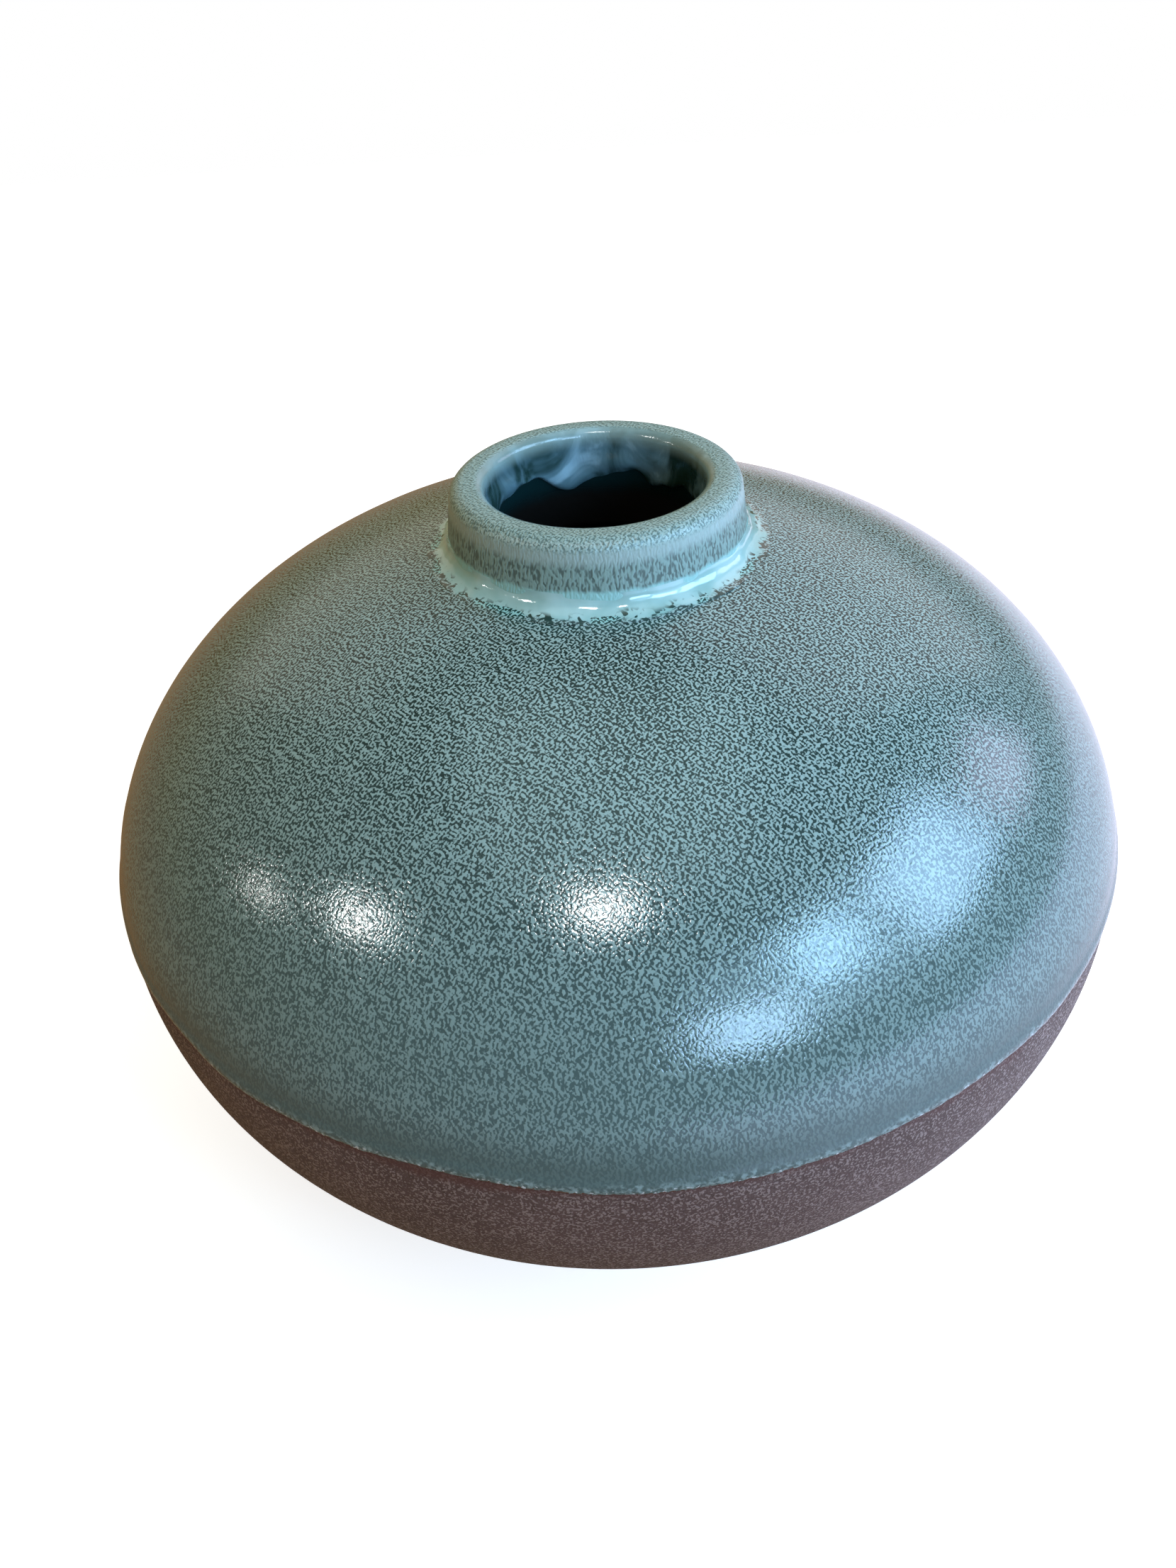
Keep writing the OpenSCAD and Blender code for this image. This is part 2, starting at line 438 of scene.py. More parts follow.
def grit_group():
    """Builds bare clay's grain once: pale grit, dark pores and the faint lines that throwing leaves."""
    if "clay grain" in bpy.data.node_groups:
        return bpy.data.node_groups["clay grain"]
    labels = ("Grit", "Pores", "Lines", "Relief")
    group, given, result = new_group("clay grain", [("Place", VECTOR)], [(label, FLOAT) for label in labels])
    place = given["Place"]
    fine = noise(group, place, scale=3000.0, detail=0.0, distortion=0.5)
    clump = noise(group, place, scale=300.0, detail=3.0)
    grit = eased(group, sum_of(group, "MULTIPLY_ADD", clump, 0.20, fine), 0.64, 0.74)
    pores = eased(group, noise(group, place, scale=1500.0, detail=2.0), 0.45, 0.33)
    sweep = stretched(group, place, (0.06, 0.06, 1.0))
    lines = noise(group, sweep, scale=900.0, detail=3.0)
    relief = sum_of(group, "MULTIPLY_ADD", lines, 0.6, sum_of(group, "MULTIPLY", fine, 0.8))
    for label, value in zip(labels, (grit, pores, lines, relief)):
        group.links.new(value, result[label])
    return group


def use_group(tree, group, inputs):
    """Places a node group with its own values."""
    return add(tree, "ShaderNodeGroup", inputs, node_tree=group).outputs


def start_material(name):
    """A node material: itself, its tree, its shader and its object coordinates."""
    material = bpy.data.materials.new(name)
    material.use_nodes = True
    tree = material.node_tree
    tree.nodes.clear()
    shader = tree.nodes.new("ShaderNodeBsdfPrincipled")
    output = tree.nodes.new("ShaderNodeOutputMaterial")
    tree.links.new(shader.outputs[0], output.inputs["Surface"])
    return material, tree, shader, tree.nodes.new("ShaderNodeTexCoord").outputs["Object"]


def radius_and_height(tree, place):
    """How far a point is from the upright axis, and how high it is."""
    where = use_group(tree, place_group(), {"Place": place})
    return where["Radius"], where["Height"]


def worms_of(tree, place, spacing, share, softness, drift):
    """The mottle at this spacing: its pale strands and its relief."""
    cells = 1 / spacing
    inputs = {"Place": place, "Cells": cells, "Dark Share": share, "Softness": softness, "Drift": drift}
    worms = use_group(tree, worm_group(), inputs)
    return worms["Strands"], worms["Relief"]


def part_of(tree, mask, strength):
    """A mask at part of its strength."""
    return sum_of(tree, "MULTIPLY", mask, strength)


def plus(tree, value, mask, amount):
    """A value with an amount of a mask or a pattern added to it."""
    return sum_of(tree, "MULTIPLY_ADD", mask, amount, value)


def feed(tree, shader, colour, roughness):
    """Gives the shader its colour and its roughness."""
    tree.links.new(colour, shader.inputs["Base Color"])
    tree.links.new(roughness, shader.inputs["Roughness"])


def bumped(tree, shader, height, distance):
    """Feeds a Bump node to the shader's normal."""
    inputs = {"Height": height, "Distance": distance, "Strength": 1.0}
    tree.links.new(add(tree, "ShaderNodeBump", inputs).outputs[0], shader.inputs["Normal"])


def clay_material(colours, dip_line):
    """Matte brown stoneware with pale grit, faint throwing lines and a red flash under the glaze, darkened
    as painted shade along the glaze's edge.
    """
    if "bare clay" in bpy.data.materials:
        return bpy.data.materials["bare clay"]
    material, tree, shader, place = start_material("bare clay")
    height = radius_and_height(tree, place)[1]
    grain = use_group(tree, grit_group(), {"Place": place})
    cloudy = eased(tree, noise(tree, place, scale=60.0, detail=4.0), 0.3, 0.7)
    colour = mixed(tree, part_of(tree, cloudy, 0.35), colours.clay, colours.clay_dark)
    lines = eased(tree, grain["Lines"], 0.4, 0.75)
    colour = mixed(tree, part_of(tree, lines, 0.3), colour, colours.clay_dark)
    colour = mixed(tree, part_of(tree, grain["Pores"], 0.6), colour, colours.clay_dark)
    colour = mixed(tree, part_of(tree, grain["Grit"], 0.75), colour, colours.clay_grit)
    # The band along the dip line takes the red flash, darkened as painted shade under the glaze's edge.
    edge = plus(tree, height, noise(tree, place, scale=130.0, detail=3.0), 2.4 * MM)
    flash = eased(tree, edge, dip_line - 0.6 * MM, dip_line + 0.9 * MM)
    colour = mixed(tree, part_of(tree, flash, 0.8), colour, colours.flash_and_edge_shade)
    feed(tree, shader, colour, plus(tree, 0.65, grain["Grit"], -0.25))
    shader.inputs["Specular IOR Level"].default_value = 0.5
    bumped(tree, shader, grain["Relief"], 0.10 * MM)
    return material


def halo(tree, place, radius, reach):
    """How far a point is into the pooled glaze: 1 in the pool, 0 out on the dome, ragged between."""
    edge = plus(tree, radius, noise(tree, place, scale=210.0, detail=3.0, distortion=0.4), 3.4 * MM)
    return eased(tree, edge, reach + 2.0 * MM, reach + 1.2 * MM), edge


def dark_run(tree, place, height, dip_line):
    """The darker run down the front of the dome, below the pool."""
    sides = add(tree, "ShaderNodeSeparateXYZ", {0: place}).outputs
    off_line = sum_of(tree, "ABSOLUTE", sum_of(tree, "SUBTRACT", sides[0], 4 * MM), 0.0)
    narrow = eased(tree, off_line, 11 * MM, 1 * MM)
    run = sum_of(tree, "MULTIPLY", narrow, eased(tree, sides[1], 0.0, -15 * MM))
    high = eased(tree, height, dip_line + 36 * MM, dip_line + 41 * MM)
    return sum_of(tree, "MULTIPLY", run, high)


def mottle_colour(tree, place, height, strands, colours, dip_line):
    """Pale strands on dark teal, clouded in patches and softer low on the shoulder."""
    lowness = part_of(tree, eased(tree, height, dip_line + 44 * MM, dip_line + 10 * MM), 0.90)
    cloud = noise(tree, place, scale=21.0, detail=3.0, distortion=0.3)
    cloud = part_of(tree, eased(tree, cloud, 0.32, 0.68), 0.28)
    pale = mixed(tree, cloud, colours.pale, colours.pale_cloud)
    pale = mixed(tree, lowness, pale, colours.pale_low)
    dark = mixed(tree, lowness, colours.dark, colours.dark_low)
    return mixed(tree, strands, dark, pale)


def edge_colour(tree, place, colour, colours):
    """Adds the smooth skirt, the rolled edge painted lighter as its highlight, with its beads, and the
    nibbled end of the coat in the red flash with its painted edge shade.
    """
    above = add(tree, "ShaderNodeAttribute", attribute_name="above_edge").outputs["Fac"]
    ragged = sum_of(tree, "SUBTRACT", noise(tree, place, scale=420.0, detail=3.0), 0.5)
    frayed = plus(tree, above, ragged, 2.2)
    colour = mixed(tree, part_of(tree, eased(tree, frayed, 9.0, 2.6), 0.8), colour, colours.skirt)
    # The rolled edge takes a lighter colour: its own glaze with a painted highlight.
    curds = eased(tree, noise(tree, place, scale=1500.0, detail=2.0), 0.38, 0.66)
    roll_and_highlight_colour = mixed(tree, curds, colours.skirt, colours.roll)
    colour = mixed(tree, part_of(tree, eased(tree, frayed, 1.9, 1.2), 0.9), colour, roll_and_highlight_colour)
    bites = sum_of(tree, "SUBTRACT", noise(tree, place, scale=1300.0, detail=2.0), 0.5)
    nibbled = plus(tree, above, bites, 1.5)
    beads = eased(tree, noise(tree, place, scale=1900.0, detail=0.0), 0.64, 0.70)
    beads = sum_of(tree, "MULTIPLY", eased(tree, nibbled, 1.1, 0.7), beads)
    colour = mixed(tree, beads, colour, colours.bead)
    # The coat's nibbled end shows the red flash with its painted edge shade.
    return mixed(tree, eased(tree, nibbled, 0.50, 0.38), colour, colours.flash_and_edge_shade)


def coat_material(colours, sizes, dip_line):
    """The outer glaze: pale strands on dark teal, streaky low down, smooth along the dip line."""
    material, tree, shader, place = start_material("mottled glaze")
    radius, height = radius_and_height(tree, place)
    streaky = stretched(tree, place, (1.0, 1.0, 0.62))
    share = plus(tree, 0.505, dark_run(tree, place, height, dip_line), 0.030)
    strands, relief = worms_of(tree, streaky, sizes.mottle_cell, share, softness=0.085, drift=0.05)
    colour = mottle_colour(tree, place, height, strands, colours, dip_line)
    in_pool, pool_edge = halo(tree, place, radius, POOL_REACH)
    by_pool = eased(tree, pool_edge, POOL_REACH + 4.6 * MM, POOL_REACH + 1.9 * MM)
    flecks = sum_of(tree, "MULTIPLY", by_pool, eased(tree, relief, 0.53, 0.46))
    colour = mixed(tree, in_pool, colour, colours.pool)
    colour = mixed(tree, flecks, colour, colours.fleck)
    colour = edge_colour(tree, place, colour, colours)
    spots = add(tree, "ShaderNodeTexVoronoi", {"Vector": place, "Scale": 68.0}).outputs["Distance"]
    pits = eased(tree, spots, 0.020, 0.013)
    colour = mixed(tree, pits, colour, colours.pit)
    roughness = plus(tree, 0.085, strands, 0.05)
    feed(tree, shader, colour, plus(tree, roughness, in_pool, -0.06))
    relief = sum_of(tree, "MULTIPLY", relief, plus(tree, 1.0, in_pool, -0.9))
    bumped(tree, shader, plus(tree, relief, pits, -0.5), 0.033 * MM)
    shader.inputs["IOR"].default_value = 1.55
    return material


def bore_colour(tree, place, height, colours, rim):
    """Milky blue runs on thin dark glaze, paler where they come over the rim."""
    blotch = noise(tree, stretched(tree, place, (1.0, 1.0, 0.7)), scale=150.0, detail=4.0, distortion=0.9)
    colour = mixed(tree, eased(tree, blotch, 0.40, 0.62), colours.bore, colours.drip)
    colour = mixed(tree, eased(tree, blotch, 0.60, 0.72), colour, colours.drip_milk)
    near_rim = eased(tree, height, rim - 3.2 * MM, rim - 1.2 * MM)
    return mixed(tree, part_of(tree, near_rim, 0.6), colour, colours.lip)


def lip_material(colours, sizes, rim):
    """The neck's glaze: streaked grey wall, pale specked lip with a lighter band round its shoulder that is
    partly painted highlight, and milky runs down the bore.
    """
    material, tree, shader, place = start_material("neck glaze")
    radius, height = radius_and_height(tree, place)
    streaky = stretched(tree, place, (1.0, 1.0, 0.38))
    streaks, relief = worms_of(tree, streaky, sizes.mottle_cell, share=0.47, softness=0.13, drift=0.12)
    specks = worms_of(tree, place, sizes.mottle_cell / 1.1, share=0.46, softness=0.13, drift=0.08)[0]
    wall_colour = mixed(tree, streaks, colours.neck_streak, colours.neck)
    top_colour = mixed(tree, specks, colours.lip_speck, colours.lip)
    on_top = eased(tree, height, rim - 2.9 * MM, rim - 1.2 * MM)
    colour = mixed(tree, on_top, wall_colour, top_colour)
    # A lighter band round the lip's shoulder: thinner glaze, and a painted highlight.
    above_wall = eased(tree, height, rim - 4.2 * MM, rim - 2.6 * MM)
    below_top = eased(tree, height, rim - 1.0 * MM, rim - 2.2 * MM)
    ridge = sum_of(tree, "MULTIPLY", above_wall, below_top)
    colour = mixed(tree, part_of(tree, ridge, 0.8), colour, colours.lip_ridge_and_sheen)
    inside = eased(tree, radius, 17.7 * MM, 17.0 * MM)
    colour = mixed(tree, inside, colour, bore_colour(tree, place, height, colours, rim))
    frayed = plus(tree, height, noise(tree, streaky, scale=480.0, detail=2.0), 1.2 * MM)
    pooled = eased(tree, frayed, rim - 6.2 * MM, rim - 7.0 * MM)
    pooled = sum_of(tree, "MULTIPLY", pooled, sum_of(tree, "SUBTRACT", 1.0, inside))
    colour = mixed(tree, pooled, colour, colours.pool)
    feed(tree, shader, colour, plus(tree, 0.34, inside, -0.18))
    relief = sum_of(tree, "MULTIPLY", relief, plus(tree, 1.0, inside, -0.8))
    bumped(tree, shader, relief, 0.10 * MM)
    return material


def pool_material(colours, sizes):
    """Thick glossy glaze, clear turquoise with green-black flecks at its outer edge."""
    material, tree, shader, place = start_material("pooled glaze")
    radius = radius_and_height(tree, place)[0]
    strands = worms_of(tree, place, sizes.mottle_cell, share=0.5, softness=0.04, drift=0.2)[0]
    milky = eased(tree, noise(tree, place, scale=140.0, detail=3.0, distortion=0.5), 0.35, 0.7)
    colour = mixed(tree, part_of(tree, milky, 0.7), colours.pool_clear, colours.pool_milk)
    in_pool, pool_edge = halo(tree, place, radius, POOL_REACH)
    outer = mixed(tree, strands, colours.dark, colours.pale)
    colour = mixed(tree, in_pool, outer, colour)
    blots = noise(tree, place, scale=900.0, detail=1.0, distortion=0.6)
    outermost = eased(tree, pool_edge, POOL_REACH + 0.1 * MM, POOL_REACH + 1.1 * MM)
    flecks = sum_of(tree, "MULTIPLY", outermost, eased(tree, blots, 0.47, 0.41))
    colour = mixed(tree, flecks, colour, colours.fleck)
    feed(tree, shader, colour, plus(tree, 0.3, in_pool, -0.2))
    shader.inputs["IOR"].default_value = 1.52
    shader.inputs["Coat Weight"].default_value = 0.6
    shader.inputs["Coat Roughness"].default_value = 0.04
    bumped(tree, shader, noise(tree, place, scale=520.0, detail=2.0), 0.06 * MM)
    return material


def liner_material(colours, neck_end):
    """Glossy green-black glaze with a brown cast where it is thin, painted near black as shade below the
    neck.
    """
    material, tree, shader, place = start_material("liner glaze")
    height = radius_and_height(tree, place)[1]
    thin = eased(tree, noise(tree, place, scale=90.0, detail=4.0, distortion=0.6), 0.5, 0.75)
    frayed = plus(tree, height, thin, 1.5 * MM)
    # Below the neck the liner is painted near black as shade, and made rougher.
    in_painted_shade = eased(tree, frayed, neck_end + 8.0 * MM, neck_end + 4.5 * MM)
    colour = mixed(tree, in_painted_shade, colours.liner, colours.liner_painted_shade)
    colour = mixed(tree, part_of(tree, thin, 0.3), colour, colours.liner_thin)
    feed(tree, shader, colour, plus(tree, 0.16, in_painted_shade, 0.25))
    shader.inputs["Specular IOR Level"].default_value = 0.3
    bumped(tree, shader, noise(tree, place, scale=260.0, detail=3.0), 0.12 * MM)
    return material


# Outlines that more than one piece shares


def hollow(clay):
    """Rise and depth of the clay's hollow above and below the belly, one wall inside the outer curves."""
    wall = clay.belly_radius - INNER_RADIUS
    return clay.dome_rise - wall, clay.bowl_depth - wall


def joint(clay):
    """Radius and top height of the step where bowl and dome are luted."""
    return (clay.belly_radius + INNER_RADIUS) / 2, clay.belly_height + clay.joint_step


def dome_angle(half_width, radius):
    """Angle on an oval arch at which it has the given radius."""
    return math.acos(radius / half_width)


def neck_line(clay, coat, height):
    """Radius of the neck's outside at a height, with coat on it."""
    straight = LIP_HIGH.z - 2.3 * MM
    slope = clay.neck_flare / (straight - (SHOULDER_LOW.z + clay.dome_rise - 6 * MM))
    return clay.collar_radius + coat + slope * max(0.0, straight - height)


class VASE_OT_lower_bowl(bpy.types.Operator):
    """Throw the bare clay bowl, with its floor and its share of the belly joint"""

    bl_idname = "vase.lower_bowl"
    bl_label = "Throw the lower bowl"

    def execute(self, context):
        clay = context.scene.vase_clay
        base, belly = FOOT_HIGH.z, clay.belly_height
        rise, depth = hollow(clay)
        joint_radius, step_top = joint(clay)
        low_angle = -math.asin((belly - base) / clay.bowl_depth)
        outer = walk_oval(clay.belly_radius, clay.bowl_depth, low_angle, 0, FINE_STEP, FINE_STEP)
        top_angle = math.asin(clay.joint_step / rise)
        inner_edge = (INNER_RADIUS * math.cos(top_angle), step_top)
        floor_angle = -math.asin((belly - LINER_LOW.z) / depth)
        inner = walk_oval(INNER_RADIUS, depth, 0, floor_angle, COARSE_STEP, COARSE_STEP)
        outline = joined(
            self.trimmed_base(base),
            raised(outer, belly),
            [(joint_radius, belly), (joint_radius, step_top), inner_edge],
            raised(inner, belly),
            [(0, LINER_LOW.z)],
        )
        piece = turn_outline("turned_bowl", outline, context.scene.vase_studio.turn_steps)

        def outside(radius, height):
            if height <= base + MM:
                return 0
            inner_wall = INNER_RADIUS * math.sqrt(max(0, 1 - ((height - belly) / depth) ** 2))
            return falling(height, belly - 6 * MM, belly) * (radius > inner_wall + 3 * MM)

        weigh(piece, "outside", outside)
        waver(piece, "outside", "NORMAL", size=30 * MM, strength=0.09 * MM)
        complete(piece, clay_material(context.scene.vase_colours, COAT_LOW.z), "bare_clay", "lower_bowl")
        return {"FINISHED"}

    def trimmed_base(self, base):
        """The base inside the foot ring, with the faint rings that a trimming tool leaves."""
        points = []
        for r in range(37):
            ring = (0.12 * math.sin(r * 1.9) - 0.10) * MM
            points.append((r * MM, base + ring * falling(r, 3, 1) * falling(r, 33, 36)))
        return points


class VASE_OT_foot_ring(bpy.types.Operator):
    """Turn the foot ring that the vase rests on"""

    bl_idname = "vase.foot_ring"
    bl_label = "Turn the foot ring"

    def execute(self, context):
        clay = context.scene.vase_clay
        outer, inner = FOOT_HIGH.x, FOOT_HIGH.x - clay.foot_width
        edge, top = clay.foot_round, FOOT_HIGH.z
        outline = joined(
            [(inner, top)],
            arc((inner + edge, edge), edge, math.pi, math.pi + QUARTER_TURN, 8),
            ruled((inner + edge, 0), (outer - edge, 0), 0.8 * MM),
            arc((outer - edge, edge), edge, -QUARTER_TURN, 0, 8),
            [(outer, top)],
            ruled((outer, top), (inner, top), MIDDLE_STEP),
        )
        piece = turn_outline("trimmed_foot", outline, context.scene.vase_studio.turn_steps)
        complete(piece, clay_material(context.scene.vase_colours, COAT_LOW.z), "bare_clay", "foot_ring")
        return {"FINISHED"}


class VASE_OT_shoulder(bpy.types.Operator):
    """Throw the clay dome under the glaze, with the hole for the neck"""

    bl_idname = "vase.shoulder"
    bl_label = "Throw the shoulder"

    def execute(self, context):
        clay = context.scene.vase_clay
        belly = clay.belly_height
        rise = hollow(clay)[0]
        joint_radius, step_top = joint(clay)
        seat_angle = dome_angle(clay.belly_radius, clay.seat_radius)
        outer = walk_oval(clay.belly_radius, clay.dome_rise, 0, seat_angle, FINE_STEP, 1.4 * MM)
        hole_angle = dome_angle(INNER_RADIUS, clay.seat_radius)
        top_angle = math.asin(clay.joint_step / rise)
        inner = walk_oval(INNER_RADIUS, rise, hole_angle, top_angle, COARSE_STEP, COARSE_STEP)
        outline = joined(
            [(joint_radius, belly)],
            raised(outer, belly),
            raised(inner, belly),
            [(joint_radius, step_top), (joint_radius, belly)],
        )
        piece = turn_outline("clay_shoulder", outline, context.scene.vase_studio.turn_steps)
        complete(piece, clay_material(context.scene.vase_colours, COAT_LOW.z), "bare_clay", "shoulder_dome")
        return {"FINISHED"}


class VASE_OT_collar(bpy.types.Operator):
    """Finish the neck's clay, which the glaze hides"""

    bl_idname = "vase.collar"
    bl_label = "Finish the neck collar"

    def execute(self, context):
        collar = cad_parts["neck_collar"]
        collar.data.materials.clear()
        collar.data.materials.append(clay_material(context.scene.vase_colours, COAT_LOW.z))
        return {"FINISHED"}


class VASE_OT_coat(bpy.types.Operator):
    """Dip the shoulder: a coat with a wavy rolled edge along the dip line"""

    bl_idname = "vase.coat"
    bl_label = "Dip the shoulder"

    def execute(self, context):
        clay, glaze = context.scene.vase_clay, context.scene.vase_glaze
        belly, dip = clay.belly_height, COAT_LOW.z
        low_angle = math.asin((dip - belly) / clay.dome_rise)
        neck_radius = neck_line(clay, glaze.neck_coat, COAT_HIGH.z) - 0.2 * MM
        high_angle = dome_angle(clay.belly_radius, neck_radius)
        outline = walk_oval(clay.belly_radius, clay.dome_rise, low_angle, high_angle, 0.22 * MM, 1.15 * MM)
        piece = turn_outline("mottled_coat", raised(outline, belly), context.scene.vase_studio.turn_steps)
        remember(piece, "above_edge", lambda r, z: (z - dip) / MM)
        thickest = glaze.roll_depth

        def depth(radius, height):
            coat = glaze.belly_coat + (glaze.top_coat - glaze.belly_coat) * falling(height, COAT_HIGH.z, dip)
            up = height - dip
            if up >= glaze.roll_height:
                return coat / thickest
            rolled = thickest * math.sqrt(max(0.0, 1 - (2 * up / glaze.roll_height - 1) ** 2))
            if up >= glaze.roll_height / 2:
                rolled = max(rolled, coat)
            return max(0.06, rolled / thickest)

        weigh(piece, "depth", depth)
        weigh(piece, "skirt", lambda r, z: falling(z, dip, dip + 9 * MM))
        weigh(piece, "rim", lambda r, z: falling(z, dip, dip + 1.2 * MM))
        waver(piece, "skirt", "Z", size=26 * MM, strength=2.6 * MM)
        waver(piece, "rim", "Z", size=2.0 * MM, strength=0.5 * MM)
        clay_dome = bpy.data.objects["clay_shoulder"]
        finish_with(piece, "SHRINKWRAP", target=clay_dome, offset=-HAIR, wrap_mode="ON_SURFACE")
        thicken(piece, thickest)
        waver(piece, "outside", "NORMAL", size=14 * MM, strength=0.08 * MM)
        complete(piece, coat_material(context.scene.vase_colours, glaze, dip), "mottled_glaze", "dome_glaze")
        return {"FINISHED"}


class VASE_OT_lip(bpy.types.Operator):
    """Glaze the neck and lip, with runs that end raggedly down inside the bore"""

    bl_idname = "vase.lip"
    bl_label = "Glaze the neck and lip"

    def execute(self, context):
        clay, glaze = context.scene.vase_clay, context.scene.vase_glaze
        top, rim = COLLAR_HIGH.z, LIP_HIGH.z
        drip_end = rim - glaze.drip_end
        outline = self.skin(clay, top, drip_end)
        piece = turn_outline("lip_coat", outline, context.scene.vase_studio.neck_steps)
        thickest = glaze.drip_depth
        plain = glaze.neck_coat / thickest

        def in_bore(radius):
            return radius < clay.collar_bore + 0.05 * MM

        def depth(radius, height):
            if not in_bore(radius):
                return plain
            bulge = plain + (1 - plain) * falling(height, drip_end + 1.5 * MM, top - 2 * MM)
            return max(0.08, bulge * math.sqrt(min(1.0, max(0.0, (height - drip_end) / (1.3 * MM)))))

        weigh(piece, "depth", depth)
        weigh(piece, "runs", lambda r, z: in_bore(r) * falling(z, drip_end, top - 2.5 * MM))
        waver(piece, "runs", "Z", size=7 * MM, strength=6.5 * MM)
        thicken(piece, thickest)
        inner_skin = clay.collar_bore - HAIR
        weigh(piece, "lumps", lambda r, z: (r < inner_skin) * falling(z, top - 5 * MM, top - 0.5 * MM))
        waver(piece, "lumps", "NORMAL", size=4.5 * MM, strength=0.9 * MM)
        waver(piece, "outside", "NORMAL", size=8 * MM, strength=0.14 * MM)
        complete(piece, lip_material(context.scene.vase_colours, glaze, rim), "neck_glaze", "neck_glaze")
        return {"FINISHED"}

    def skin(self, clay, top, drip_end):
        """The neck's bare outline: up the wall, over the lip and down the bore."""
        outer_turn, inner_turn = clay.lip_outer_round, clay.lip_inner_round
        root = COAT_HIGH.z - 0.7 * MM
        straight = top - outer_turn
        outer, inner = clay.collar_radius - outer_turn, clay.collar_bore + inner_turn
        spacing = 0.42 * MM
        return joined(
            ruled((neck_line(clay, 0, root), root), (clay.collar_radius, straight), spacing),
            arc((outer, straight), outer_turn, 0, QUARTER_TURN, 7),
            ruled((outer, top), (inner, top), spacing),
            arc((inner, top - inner_turn), inner_turn, QUARTER_TURN, math.pi, 5),
            ruled((clay.collar_bore, top - inner_turn), (clay.collar_bore, drip_end), spacing),
        )


class VASE_OT_pool(bpy.types.Operator):
    """Let the glaze pool in the crease round the neck's foot"""

    bl_idname = "vase.pool"
    bl_label = "Pool the glaze round the neck"

    def execute(self, context):
        clay, glaze = context.scene.vase_clay, context.scene.vase_glaze
        dome_width = clay.belly_radius + glaze.belly_coat
        dome_rise = clay.dome_rise + glaze.top_coat

        def dome_height(radius):
            return clay.belly_height + dome_rise * math.sqrt(1 - (radius / dome_width) ** 2)

        toe = glaze.pool_radius
        toe_height = dome_height(toe) - HAIR
        wall_top = dome_height(toe) + glaze.pool_climb
        wall = neck_line(clay, glaze.neck_coat, wall_top)
        cove = []
        for i in range(17):
            angle = QUARTER_TURN * i / 16
            out, down = (toe - wall) * (1 - math.cos(angle)), (wall_top - toe_height) * math.sin(angle)
            cove.append((wall + out, wall_top - down))
        buried = 0.45 * MM
        root = (wall - buried, wall_top - 0.2 * MM)
        under = [(r, dome_height(r) - buried) for r in (toe + 0.1 * MM, 24.0 * MM, wall - buried)]
        outline = joined([root], cove, under, [root])
        piece = turn_outline("pooled_ring", outline, context.scene.vase_studio.neck_steps)
        weigh(piece, "cove", lambda r, z: (z > dome_height(r) - 0.3 * MM) * (r > wall - 0.2 * MM))
        waver(piece, "cove", "NORMAL", size=6 * MM, strength=0.55 * MM)
        complete(piece, pool_material(context.scene.vase_colours, glaze), "pooled_glaze", "glaze_pool")
        return {"FINISHED"}


class VASE_OT_liner(bpy.types.Operator):
    """Line the inside with dark glaze, from the neck down over the floor"""

    bl_idname = "vase.liner"
    bl_label = "Line the inside"

    def execute(self, context):
        clay, coat = context.scene.vase_clay, context.scene.vase_glaze.liner_coat
        belly, floor = clay.belly_height, LINER_LOW.z
        rise, depth = hollow(clay)
        width = INNER_RADIUS - coat
        outer_floor = -math.asin((belly - floor) / depth)
        inner_floor = -math.asin((belly - floor - coat) / (depth - coat))
        outer_seat = dome_angle(INNER_RADIUS, clay.seat_radius)
        inner_seat = dome_angle(width, clay.seat_radius)
        outline = joined(
            [(0, floor)],
            raised(walk_oval(INNER_RADIUS, depth, outer_floor, 0, COARSE_STEP, COARSE_STEP), belly),
            raised(walk_oval(INNER_RADIUS, rise, 0, outer_seat, COARSE_STEP, COARSE_STEP), belly),
            self.sleeve(clay),
            raised(walk_oval(width, rise - coat, inner_seat, 0, MIDDLE_STEP, MIDDLE_STEP), belly),
            raised(walk_oval(width, depth - coat, 0, inner_floor, MIDDLE_STEP, MIDDLE_STEP), belly),
            self.spiral(floor + coat),
        )
        piece = turn_outline("liner_coat", outline, context.scene.vase_studio.inner_steps)
        material = liner_material(context.scene.vase_colours, COLLAR_LOW.z)
        complete(piece, material, "liner_glaze", "liner_glaze")
        return {"FINISHED"}

    def sleeve(self, clay):
        """Up the neck's bore behind the runs, and back down to a round edge at the spigot's end."""
        end, top = COLLAR_LOW.z, LIP_HIGH.z - 4.5 * MM
        inner, bend = clay.collar_bore - 0.4 * MM, 0.9 * MM
        edge = arc((inner + bend, end + 0.3 * MM), bend, math.pi, math.pi + QUARTER_TURN, 5)
        return [(clay.collar_bore, end), (clay.collar_bore - HAIR, top), (inner, top - 0.3 * MM)] + edge

    def spiral(self, floor):
        """The floor, with the spiral that a thrower's finger leaves."""
        points = []
        for r in range(44, -1, -1):
            ring = 0.22 * MM * math.sin(r * 1.15)
            points.append((r * MM, floor + ring * falling(r, 3, 1) * falling(r, 40, 44)))
        return points


